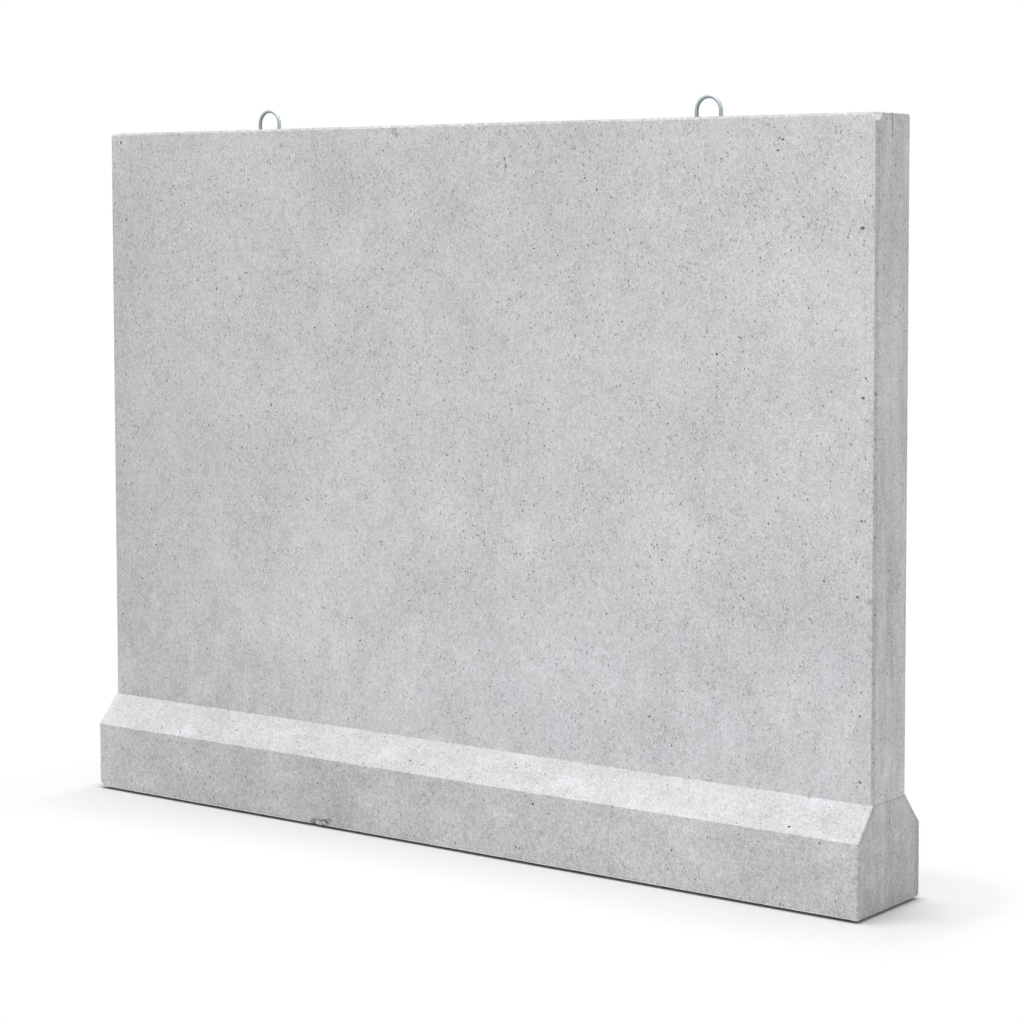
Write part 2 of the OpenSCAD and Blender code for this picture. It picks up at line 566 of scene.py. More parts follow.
def new_material(name):
    """An empty material, its tree, its shader and its Object coordinates."""
    material = bpy.data.materials.new(name)
    material.use_nodes = True
    tree = material.node_tree
    tree.nodes.clear()
    shader = add_node(tree, "ShaderNodeBsdfPrincipled")
    add_node(tree, "ShaderNodeOutputMaterial", {"Surface": shader.outputs[0]})
    place = add_node(tree, "ShaderNodeTexCoord").outputs["Object"]
    return material, tree, shader, place


def colour_shader(tree, shader, colour, roughness):
    """Gives a shader its colour and its roughness."""
    feed(tree, shader.inputs["Base Color"], colour)
    feed(tree, shader.inputs["Roughness"], roughness)


def emboss(tree, shader, height, strength, depth, invert=False):
    """Gives a shader its bumps."""
    bump = add_node(tree, "ShaderNodeBump",
                    {"Strength": strength, "Distance": depth, "Height": height},
                    invert=invert)
    feed(tree, shader.inputs["Normal"], bump.outputs[0])


def toned(tree, colour, shade):
    """A colour made lighter or darker by a shade that averages zero."""
    node = add_node(tree, "ShaderNodeVectorMath",
                    {0: colour, "Scale": total(tree, shade, 1.0)}, operation="SCALE")
    return node.outputs[0]


def mixed(tree, amount, base, over):
    """Over laid on base by an amount from 0 to 1. Each is a colour or a socket."""
    node = add_node(tree, "ShaderNodeMix", data_type="RGBA")
    factor, first, second = 0, 6, 7
    for socket, value in ((factor, amount), (first, base), (second, over)):
        feed(tree, node.inputs[socket], value)
    return node.outputs[2]


def opaque(colour):
    """A colour with its alpha."""
    return (*colour, 1.0)


def seen_directly(tree):
    """1 for what the camera sees, also in metal or through glass, and 0 for other light."""
    path = add_node(tree, "ShaderNodeLightPath").outputs
    mirrored = total(tree, path["Is Glossy Ray"], path["Is Transmission Ray"])
    return maths(tree, "ADD", path["Is Camera Ray"], mirrored, clamp=True)


def concrete_material(name, tone, half_width, top, lift, bluish, end_shade, arris, mottling,
                      grain, pinholes, stains=(), clouds=()):
    """Fair-faced concrete: cloudy, grained, pinholed and worn along its arrises.

    half_width(tree, height) gives half the block's width at a height. lift(tree, x, height)
    and bluish(tree, x, height) say how much paler and how much cooler a place of the long
    faces is; the lift is painted light and shade. Each gives a socket or a number. end_shade is
    the painted shade that darkens the end faces. arris is the width of the upright chamfers,
    how dark their painted shade is, and how dark and how wide the painted shade of the line
    beside them is. mottling is how the mottle is drawn out, grain(tree, height) the contrast
    of the sand, and pinholes their share on the sides and on the ends. A stain is its middle,
    radius and strength, and a cloud its middle, radius and lift.
    """
    settings = bpy.context.scene.precast_concrete
    material, tree, shader, place = new_material(name)
    x, _, height = parts(tree, place)
    chamfer, chamfer_shade, line_shade, line_width = arris
    edge = use_group(tree, "Arris distance", Position=place, Half_Length=STEM_HIGH.x,
                     Half_Width=half_width(tree, height), Top=top)
    on_end = edge["On End"]

    # Broad patches, and the mottle of the lower part.
    patches = use_group(tree, "Cloudy patches", Position=place, Patch_Size=0.8,
                        Detail=5.0, Contrast=0.46)["Value"]
    mottle = use_group(tree, "Cloudy patches", Position=place, Patch_Size=0.14,
                       Stretch=mottling, Detail=3.0, Contrast=1.0)["Value"]
    low_down = remap(tree, height, 0.3, 1.8, 1.0, 0.25)
    bloom = product(tree, remap(tree, mottle, 0.04, 0.16), low_down)
    damp = product(tree, remap(tree, mottle, -0.03, -0.14), low_down)

    # The cast skin, the film's marks, and the runs down the end faces.
    crowded = product(tree, remap(tree, height, 0.4, 1.9, 0.55, 1.0),
                      remap(tree, patches, -0.06, 0.06, 1.4, 0.6),
                      remap(tree, on_end, 0, 1, *pinholes))
    skin = use_group(tree, "Cast skin", Position=place, Hole_Share=crowded,
                     Contrast=grain(tree, height))
    marks = use_group(tree, "Film marks", Position=place)
    runs = use_group(tree, "Cloudy patches", Position=place, Patch_Size=0.06,
                     Stretch=(0.2, 1.0, 0.10), Detail=2.0, Contrast=0.52)["Value"]

    # How pale a place is, from all of these, with the painted light and shade of the lift. On
    # the end faces, the runs add to painted shade, and painted light pales them higher up.
    end_runs_and_light = total(tree, runs, -end_shade, remap(tree, height, 0.5, 2.6, -0.025, 0.035))
    shade = total(tree, patches, skin["Value"], product(tree, marks["Pale"], 0.04),
                  product(tree, bloom, 0.09), product(tree, damp, -0.06),
                  product(tree, on_end, end_runs_and_light),
                  product(tree, lift(tree, x, height), minus(tree, 1.0, on_end)))
    for middle, radius, cloud_lift in clouds:
        cloud = use_group(tree, "Soft patch", Position=place, Middle=middle, Radius=radius,
                          Unevenness=product(tree, mottle, 1.2))["Amount"]
        shade = total(tree, shade, product(tree, cloud, cloud_lift))

    # How cool it is.
    tints = use_group(tree, "Cloudy patches", Position=place, Patch_Size=0.3,
                      Detail=3.0, Contrast=1.0)["Value"]
    cast = product(tree, remap(tree, tints, -0.08, 0.10, 0.0, 0.85), bluish(tree, x, height))
    cool = greatest(tree, bloom, cast, product(tree, on_end, 0.5 - 5 * end_shade))
    cooled = [part * cooling for part, cooling in zip(tone, COOLING)]
    tinted = mixed(tree, cool, opaque(tone), opaque(cooled))

    # Marks, stains, and painted shade in the pinholes.
    marked = mixed(tree, product(tree, marks["Dark"], 0.38), toned(tree, tinted, shade),
                   opaque(FILM_TONE))
    for middle, radius, strength in stains:
        stain = use_group(tree, "Stain", Position=place, Middle=middle,
                          Radius=radius)["Amount"]
        marked = mixed(tree, product(tree, stain, strength), marked, opaque(STAIN_TONE))
    pinned = mixed(tree, product(tree, skin["Holes"], 0.8), marked,
                   opaque(settings.hole_shade_tone))

    # Bruises and dirt along the arrises. Few bruises show where a face looks up.
    wear = use_group(tree, "Arris wear", Position=place, Distance=edge["Distance"],
                     Reach=2.2 * ARRIS)
    facing_up = surface_normal(tree)[2]
    bruised = mixed(tree, product(tree, wear["Pale"],
                                  remap(tree, facing_up, 0.3, 0.6, 0.65, 0.15)),
                    pinned, opaque(BRUISE_TONE))
    darkened = mixed(tree, product(tree, wear["Dark"], 0.5), bruised, opaque(DIRT_TONE))

    # The seam and the joint, and the painted shade of the upright chamfers and of the line
    # beside them on the end faces.
    seams = use_group(tree, "Mould seam", Position=place, Half_Length=STEM_HIGH.x,
                      Joint_Height=STEM_LOW.z, Top=STEM_HIGH.z)
    past_arris = minus(tree, edge["From Upright"], chamfer)
    on_chamfer = remap(tree, past_arris, 1.5 * MM, 3 * MM, chamfer_shade, 0.0)
    beside_it = product(tree, remap(tree, past_arris, 3 * MM, line_width, 1.0, 0.0), on_end,
                        remap(tree, skin["Value"], -0.1, 0.1, line_shade, 0.4 * line_shade))
    lines = greatest(tree, product(tree, seams["Seam"], 0.8),
                     product(tree, seams["Joint"], 0.3), on_chamfer, beside_it)
    scored = mixed(tree, lines, darkened, opaque(CREVICE_AND_SHADE_TONE))

    colour_shader(tree, shader, scored, roughness=0.9)
    shader.inputs["Specular IOR Level"].default_value = 0.2
    emboss(tree, shader, skin["Height"], strength=0.6, depth=1.2 * MM)
    return material


def lining_material():
    """The inside of blowholes: coarse and dusty, and dark with painted shade."""
    settings = bpy.context.scene.precast_concrete
    material, tree, shader, place = new_material("Blowhole lining")
    skin = use_group(tree, "Cast skin", Position=place, Grain_Size=0.003, Contrast=0.4)
    dust = use_group(tree, "Cloudy patches", Position=place, Patch_Size=0.2, Contrast=0.8)
    shade = total(tree, skin["Value"], dust["Value"])
    colour_shader(tree, shader, toned(tree, settings.hole_shade_tone, shade), roughness=0.95)
    emboss(tree, shader, skin["Height"], strength=0.5, depth=0.6 * MM)
    return material


def patch_material(name, tone):
    """Bare mortar in a shallow mark, rough and uneven."""
    material, tree, shader, place = new_material(name)
    skin = use_group(tree, "Cast skin", Position=place, Grain_Size=0.005, Contrast=0.9)
    colour_shader(tree, shader, toned(tree, tone, skin["Value"]), roughness=0.95)
    return material


def zinc_material():
    """Hot-dip galvanising on a bar: faint spangle, dull runs, a soft shine and painted shade.
    """
    settings = bpy.context.scene.precast_fittings
    material, tree, shader, place = new_material("Galvanised bar")
    flake = parts(tree, crystals(tree, place, 160.0)["Color"])[0]
    dull = use_group(tree, "Cloudy patches", Position=place, Patch_Size=0.03,
                     Contrast=0.08)["Value"]
    shade = total(tree, remap(tree, flake, 0, 1, -0.008, 0.008), dull)
    facing = surface_normal(tree, "Normal")
    x, _, z = parts(tree, place)

    # Painted shade on the inner sides of the legs and of the bend.
    middle = remap(tree, x, -10 * MM, 10 * MM, *LOOP_MIDDLES)
    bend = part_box(LOOPS[0])[1].z - CROWN_RADIUS - 8 * MM
    sideways = product(tree, facing[0], minus(tree, middle, x))
    downwards = product(tree, facing[2], least(tree, minus(tree, bend, z), 0.0))
    inwards = total(tree, sideways, downwards)
    painted_inner_shade = remap(tree, inwards, 0.1 * CROWN_RADIUS, 0.7 * CROWN_RADIUS, 0.0, -0.55)

    # Painted shade on the crown's left shoulder, on the back and on what faces up, and the legs
    # darker towards their feet.
    left_top = total(tree, product(tree, facing[0], -0.75), product(tree, facing[2], 0.8))
    painted_shoulder_shade = remap(tree, left_top, 0.4, 0.85, 0.0, -0.58)
    darker_at_feet = remap(tree, z, STEM_HIGH.z + 58 * MM, STEM_HIGH.z + 20 * MM, 0.0, -0.28)
    behind = remap(tree, facing[1], 0.25, 0.7, 0.0, -0.45)
    above = remap(tree, facing[2], 0.1, 0.9, 0.0, -0.38)
    darkest_shade = least(tree, painted_shoulder_shade, painted_inner_shade, darker_at_feet, behind, above)

    rough = remap(tree, shade, -0.3, 0.3, settings.zinc_roughness + 0.12,
                  settings.zinc_roughness - 0.08)
    colour_shader(tree, shader, toned(tree, settings.zinc_tone, total(tree, shade, darkest_shade)),
                  rough)
    shader.inputs["Metallic"].default_value = 0.2
    emboss(tree, shader, dull, strength=0.05, depth=0.2 * MM)
    return material


def crumb_material():
    """Bonded rubber crumb: matt black granules with a few grey ones; the black partly stands in
    as painted shadow under the foot.
    """
    settings = bpy.context.scene.precast_fittings
    material, tree, shader, place = new_material("Rubber crumb")
    crumbs = crystals(tree, place, 1.0 / settings.crumb_size)
    draw = parts(tree, crumbs["Color"])[1]
    grey = remap(tree, draw, 0.90, 0.92)
    colour_shader(tree, shader,
                  mixed(tree, grey, opaque(settings.rubber_and_shade_tone), opaque(GREY_CRUMB_TONE)),
                  remap(tree, draw, 0, 1, 0.75, 0.95))
    emboss(tree, shader, crumbs["Distance"], strength=0.8, depth=0.8 * MM, invert=True)
    return material


# ---------------------------------------------------------------------------
# Modelling by hand
# ---------------------------------------------------------------------------

def start_block(name, low, high):
    """Adds a cube that fills a box, and opens it in edit mode."""
    bpy.ops.object.select_all(action="DESELECT")
    bpy.ops.mesh.primitive_cube_add(size=1, location=(low + high) / 2, scale=high - low)
    piece = bpy.context.object
    piece.name = name
    bpy.ops.object.transform_apply(location=True, rotation=True, scale=True)
    bpy.ops.object.mode_set(mode="EDIT")
    bpy.ops.mesh.select_mode(type="FACE")
    bpy.ops.mesh.select_all(action="DESELECT")
    return piece


def choose(piece, kind, wanted):
    """Selects the verts, edges or faces that pass a test, and nothing else."""
    bpy.ops.mesh.select_mode(type={"verts": "VERT", "edges": "EDGE", "faces": "FACE"}[kind])
    bpy.ops.mesh.select_all(action="DESELECT")
    mesh = bmesh.from_edit_mesh(piece.data)
    for element in getattr(mesh, kind):
        if wanted(element):
            element.select_set(True)
    mesh.select_flush_mode()
    bmesh.update_edit_mesh(piece.data)


def saw_off(place, normal):
    """Cuts away all that lies beyond a plane, and closes the cut."""
    bpy.ops.mesh.select_mode(type="FACE")
    bpy.ops.mesh.select_all(action="SELECT")
    bpy.ops.mesh.bisect(plane_co=place, plane_no=normal, use_fill=True, clear_outer=True,
                        threshold=1e-6)


def knock_off_corner(corner, inward):
    """Cuts a corner off. inward says how far from it the cut reaches along each axis."""
    normal = Vector([-1 / along for along in inward])
    saw_off(corner + Vector((inward[0], 0, 0)), normal.normalized())


def score_across(low, high, axis):
    """Scores the block all round at even steps along an axis, so that no face is very long."""
    steps = math.ceil((high[axis] - low[axis]) / STRIP)
    normal = Vector((0, 0, 0))
    normal[axis] = 1
    for step in range(1, steps):
        place = low.lerp(high, step / steps)
        bpy.ops.mesh.select_mode(type="FACE")
        bpy.ops.mesh.select_all(action="SELECT")
        bpy.ops.mesh.bisect(plane_co=place, plane_no=normal)


def rim_flat_sides(piece, rim):
    """Gives each flat side a rim of narrow faces along its arrises."""
    same_way = math.cos(math.radians(1))
    for way in flat_ways(piece):
        choose(piece, "faces", lambda face: face.normal.dot(way) > same_way)
        bpy.ops.mesh.inset(thickness=rim, use_boundary=True, use_even_offset=True)


def flat_ways(piece):
    """The normals of the sides that are wider than any chamfer."""
    smallest = 0.1            # square metres
    mesh = bmesh.from_edit_mesh(piece.data)
    areas = {}
    for face in mesh.faces:
        way = tuple(round(part, 3) for part in face.normal)
        areas[way] = areas.get(way, 0) + face.calc_area()
    return [Vector(way).normalized() for way, area in areas.items() if area > smallest]


def rim_reach():
    """How far from an arris the points of its rim lie, at most."""
    return ARRIS + bpy.context.scene.precast_concrete.rim_width + 0.5 * MM


def divide_arrises(piece, pitch, near):
    """Halves the edges that run along an arris until their points lie about a pitch apart."""
    def long(edge):
        """An edge beside an arris that is still to be halved."""
        return (edge.calc_length() > 1.5 * pitch
                and near(edge.verts[0].co) and near(edge.verts[1].co))

    while any(long(edge) for edge in bmesh.from_edit_mesh(piece.data).edges):
        choose(piece, "edges", long)
        bpy.ops.mesh.subdivide(number_cuts=1)


def wear_arrises(piece, loss, worn):
    """Rubs points inwards by an uneven amount. worn(point) says how much, from 0 to 1."""
    group = piece.vertex_groups.new(name="Arrises")
    for vertex in piece.data.vertices:
        group.add([vertex.index], worn(vertex.co), "REPLACE")
    lumps = bpy.data.textures.new(piece.name + "_lumps", "CLOUDS")
    lumps.noise_scale = 0.025
    lumps.noise_depth = 3
    rub = piece.modifiers.new("Wear", "DISPLACE")
    rub.texture = lumps
    rub.texture_coords = "LOCAL"
    rub.vertex_group = group.name
    rub.mid_level = 1.0
    rub.strength = loss
    bpy.ops.object.modifier_apply(modifier=rub.name)
    piece.vertex_groups.clear()


def rough_lump(subdivisions, roughness, seed):
    """A lump one metre in radius, for cutting: its points and its faces."""
    bpy.ops.object.select_all(action="DESELECT")
    bpy.ops.mesh.primitive_ico_sphere_add(subdivisions=subdivisions, radius=1)
    lump = bpy.context.object
    bpy.ops.object.mode_set(mode="EDIT")
    bpy.ops.mesh.select_all(action="SELECT")
    bpy.ops.transform.vertex_random(offset=roughness, uniform=1.0, seed=seed)
    bpy.ops.object.mode_set(mode="OBJECT")
    points = [v.co.copy() for v in lump.data.vertices]
    faces = [tuple(p.vertices) for p in lump.data.polygons]
    bpy.data.objects.remove(lump)
    return points, faces


def join_lumps(name, kinds):
    """One mesh of many lumps. Each kind is a lump, the matrices of its places, a material."""
    mesh = bpy.data.meshes.new(name)
    points, faces, slots = [], [], []
    for slot, (lump, places, material) in enumerate(kinds):
        mesh.materials.append(material)
        for place in places:
            start = len(points)
            points.extend(place @ point for point in lump[0])
            faces.extend(tuple(start + i for i in face) for face in lump[1])
            slots.extend([slot] * len(lump[1]))
    mesh.from_pydata(points, [], faces)
    mesh.polygons.foreach_set("material_index", slots)
    cutter = bpy.data.objects.new(name, mesh)
    bpy.context.scene.collection.objects.link(cutter)
    return cutter


def take_up(piece):
    """Selects a piece alone and makes it the active one."""
    bpy.ops.object.select_all(action="DESELECT")
    piece.select_set(True)
    bpy.context.view_layer.objects.active = piece


def split_faces(piece):
    """Splits each face into triangles, which stay flat however they are cut."""
    take_up(piece)
    bpy.ops.object.mode_set(mode="EDIT")
    bpy.ops.mesh.select_all(action="SELECT")
    bpy.ops.mesh.quads_convert_to_tris(quad_method="BEAUTY", ngon_method="CLIP")
    bpy.ops.object.mode_set(mode="OBJECT")


def drop_strays(piece):
    """Deletes any sliver that hangs by one edge from the closed surface."""
    take_up(piece)
    bpy.ops.object.mode_set(mode="EDIT")
    choose(piece, "faces", lambda face: (
        any(edge.is_boundary for edge in face.edges)
        and any(len(edge.link_faces) > 2 for edge in face.edges)))
    bpy.ops.mesh.delete(type="FACE")
    bpy.ops.object.mode_set(mode="OBJECT")


def cut_with(piece, cutter):
    """Cuts a mesh out of a piece, and removes the mesh."""
    split_faces(piece)
    whole = len(piece.data.polygons)
    cut = piece.modifiers.new("Cut", "BOOLEAN")
    cut.operation = "DIFFERENCE"
    cut.solver = "MANIFOLD"
    cut.material_mode = "TRANSFER"
    cut.object = cutter
    bpy.ops.object.modifier_apply(modifier=cut.name)
    bpy.data.objects.remove(cutter)
    if len(piece.data.polygons) == whole:
        raise RuntimeError("nothing was cut out of " + piece.name)


def random_turn(draw):
    """A turn to any side."""
    axis = Vector([draw.gauss(0, 1) for _ in range(3)]).normalized()
    return Quaternion(axis, draw.uniform(0, math.tau)).to_matrix().to_4x4()


class FlatFace:
    """A rectangle of a flat face: its corner, its two sides and its normal."""

    def __init__(self, corner, side_a, side_b):
        self.corner = Vector(corner)
        self.side_a = Vector(side_a)
        self.side_b = Vector(side_b)
        self.normal = self.side_a.cross(self.side_b).normalized()
        self.area = self.side_a.cross(self.side_b).length

    def point(self, draw):
        """A random point of the face."""
        return self.corner + draw.random() * self.side_a + draw.random() * self.side_b


def blowhole_places(faces, draw):
    """Where the blowholes lie: many small ones and few large ones."""
    settings = bpy.context.scene.precast_concrete
    places = []
    for face in faces:
        for _ in range(round(settings.holes_per_square_metre * face.area)):
            share = draw.random() ** 3
            radius = settings.hole_smallest + share * (settings.hole_largest
                                                       - settings.hole_smallest)
            depth = radius * draw.uniform(0.15, 0.7)
            centre = face.point(draw) - face.normal * depth
            stretch = Matrix.Diagonal((radius * draw.uniform(0.9, 1.7), radius,
                                       radius * draw.uniform(0.7, 1.0), 1))
            places.append(Matrix.Translation(centre) @ random_turn(draw) @ stretch)
    return places


def chip_places(arrises, draw):
    """Where the chips bite into the arrises. An arris is its two ends and its outward way."""
    settings = bpy.context.scene.precast_concrete
    smallest, spread = 3 * MM, 7 * MM
    places = []
    for start, end, outward in arrises:
        run = end - start
        for _ in range(round(settings.chips_per_metre * run.length)):
            radius = smallest + spread * draw.random() ** 4
            centre = start + run * draw.random() + outward * radius * draw.uniform(0.45, 0.8)
            stretch = Matrix.Diagonal((radius * draw.uniform(0.8, 1.8), radius,
                                       radius * draw.uniform(0.8, 1.8), 1))
            places.append(Matrix.Translation(centre) @ random_turn(draw) @ stretch)
    return places


def upright_faces(side, high, bottom, top):
    """A block's long face and its end face towards a side, less what borders an arris."""
    start = bottom + CLEAR_OF_ARRIS
    length = 2 * (high.x - CLEAR_OF_ARRIS)
    width = 2 * (high.y - CLEAR_OF_ARRIS)
    upwards = (0, 0, top - bottom - 2 * CLEAR_OF_ARRIS)
    return [FlatFace((side * (high.x - CLEAR_OF_ARRIS), side * high.y, start),
                     (-side * length, 0, 0), upwards),
            FlatFace((side * high.x, side * (CLEAR_OF_ARRIS - high.y), start),
                     (0, side * width, 0), upwards)]


def upright_arris(end, side, high, bottom, height):
    """The worn line of a block's upright corner: its two ends and its outward way."""
    half = ARRIS / 2
    start = Vector((end * (high.x - half), side * (high.y - half), bottom))
    return start, start + Vector((0, 0, height)), Vector((end, side, 0)).normalized()


def level_arris(high, y, z, outward):
    """A worn line that runs the block's length: its two ends and its outward way."""
    start = Vector((ARRIS - high.x, y, z))
    along = Vector((2 * (high.x - ARRIS), 0, 0))
    return start, start + along, Vector(outward).normalized()


def shallow_places(marks, half_width):
    """Where a face's shallow marks lie, from their x, height, half width and tallness."""
    depth = 0.45              # for half a mark's width
    return [Matrix.Translation((x, -half_width, height))
            @ Matrix.Diagonal((half, depth * half, tallness * half, 1))
            for x, height, half, tallness in marks]


def on_front(marks, half_width):
    """Marks of the front face, with their x and height made a point of it."""
    return [((x, -half_width, height), radius, strength)
            for x, height, radius, strength in marks]


def pit_surface(piece, faces, arrises, marks, seed):
    """Cuts the blowholes, the chips and the shallow marks."""
    draw = random.Random(seed)
    holes = (rough_lump(1, 0.06, 1), blowhole_places(faces, draw),
             bpy.data.materials["Blowhole lining"])
    chips = (rough_lump(2, 0.09, 2), chip_places(arrises, draw), piece.data.materials[0])
    cut_with(piece, join_lumps(piece.name + "_pits", (holes, chips, marks)))


def seat_piece(piece, node):
    """Ties a finished piece to the frame, in place of a CAD node."""
    split_faces(piece)
    drop_strays(piece)
    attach(piece, BODY)
    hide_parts(node)


# ---------------------------------------------------------------------------
# Operators
# ---------------------------------------------------------------------------

class PRECAST_OT_stem(bpy.types.Operator):
    """Model the worn stem and give it its concrete"""
    bl_idname = "precast.stem"
    bl_label = "Stem"

    def execute(self, context):
        settings = context.scene.precast_concrete
        piece = self.worn_slab(settings)
        piece.data.materials.append(self.concrete(settings))
        faces = [face for side in (-1, 1)
                 for face in upright_faces(side, STEM_HIGH, STEM_LOW.z, STEM_HIGH.z)]
        faces.append(FlatFace(
            (CLEAR_OF_ARRIS - STEM_HIGH.x, CLEAR_OF_ARRIS - STEM_HIGH.y, STEM_HIGH.z),
            (2 * (STEM_HIGH.x - CLEAR_OF_ARRIS), 0, 0),
            (0, 2 * (STEM_HIGH.y - CLEAR_OF_ARRIS), 0)))
        marks = (rough_lump(2, 0.12, 3), shallow_places(PIN_MARKS, STEM_HIGH.y),
                 patch_material("Pin mark", PIN_MARK_TONE))
        pit_surface(piece, faces, self.arrises(), marks, settings.seed)
        seat_piece(piece, "wall_stem")
        return {"FINISHED"}

    @staticmethod
    def worn_slab(settings):
        """The slab with its arrises chamfered and worn, and its corners knocked off."""
        low, high = STEM_LOW, STEM_HIGH
        piece = start_block("stem_casting", low, high)
        for side in (-1, 1):
            saw_off((0, side * high.y, high.z - ARRIS), (0, side, 1))
            saw_off((side * high.x, 0, high.z - END_ARRIS), (side, 0, 1))
            for end in (-1, 1):
                saw_off((end * (high.x - ARRIS), side * high.y, 0), (end, side, 0))
        for end, side, reach in STEM_CORNERS:
            knock_off_corner(Vector((end * high.x, side * high.y, high.z)),
                             (-end * reach, -side * 0.8 * reach, -reach))
        for axis in (0, 2):
            score_across(low, high, axis)
        rim_flat_sides(piece, settings.rim_width)

        def gap(point):
            """How far a point lies from the nearest arris, over the two faces beside it."""
            gaps = sorted((high.x - abs(point.x), high.y - abs(point.y), high.z - point.z))
            return gaps[0] + gaps[1]

        def worn(point):
            """How much of the wear a point takes: little on top, none at the joint."""
            inside_rim = gap(point) < rim_reach() - 3 * MM
            above_joint = point.z >= low.z + 2 * MM
            on_top = point.z > high.z - 2 * ARRIS
            return (0.12 if on_top else 1.0) if inside_rim and above_joint else 0.0

        divide_arrises(piece, settings.rim_pitch, lambda point: gap(point) < rim_reach())
        bpy.ops.object.mode_set(mode="OBJECT")
        wear_arrises(piece, settings.arris_loss, worn)
        return piece

    @staticmethod
    def concrete(settings):
        """The stem's concrete, with painted light low down and to the right and painted shade
        on top.
        """
        top = STEM_HIGH.z

        def half_width(tree, height):
            return STEM_HIGH.y

        def lift(tree, x, height):
            # Painted shade on the top and its chamfers. Painted light low down and to the right
            # turns to painted shade low at the left end.
            facing_up = surface_normal(tree)[2]
            painted_top_shade = total(tree, remap(tree, facing_up, 0.35, 0.57, 0.0, -settings.top_shade),
                              remap(tree, facing_up, 0.8, 0.97, 0.0, -0.09))
            painted_lift = greatest(tree, remap(tree, height, 0.4, 2.6, 0.055, 0.0),
                             remap(tree, x, 0.8, 1.8, 0.0, 0.05))
            leftwards = remap(tree, x, -1.6, -0.8, -1.2, 1.0)
            return total(tree, painted_top_shade, product(tree, painted_lift, leftwards))

        def bluish(tree, x, height):
            return product(tree, remap(tree, height, 0.85, 1.4, 1.3, 0.0),
                           remap(tree, x, -1.1, 0.2, 0.1, 1.0))

        def grain(tree, height):
            return remap(tree, height, top - 2 * MM, top - 0.5 * MM, 0.53, 0.32)

        return concrete_material(
            "Stem concrete", settings.stem_tone, half_width, top, lift, bluish,
            end_shade=0.0, arris=(ARRIS, 0.27, 0.04, 10 * MM), mottling=(1.0, 1.0, 0.6),
            grain=grain, pinholes=(0.10, 0.06), stains=on_front(STAINS, STEM_HIGH.y),
            clouds=on_front(CLOUDS, STEM_HIGH.y))

    @staticmethod
    def arrises():
        """The worn lines of the stem."""
        low, high = STEM_LOW, STEM_HIGH
        half = ARRIS / 2
        lines = []
        for side in (-1, 1):
            lines.append(level_arris(high, side * (high.y - half), high.z - half,
                                     (0, side, 1)))
            for end in (-1, 1):
                lines.append(upright_arris(end, side, high, low.z, high.z - low.z - ARRIS))
        return lines


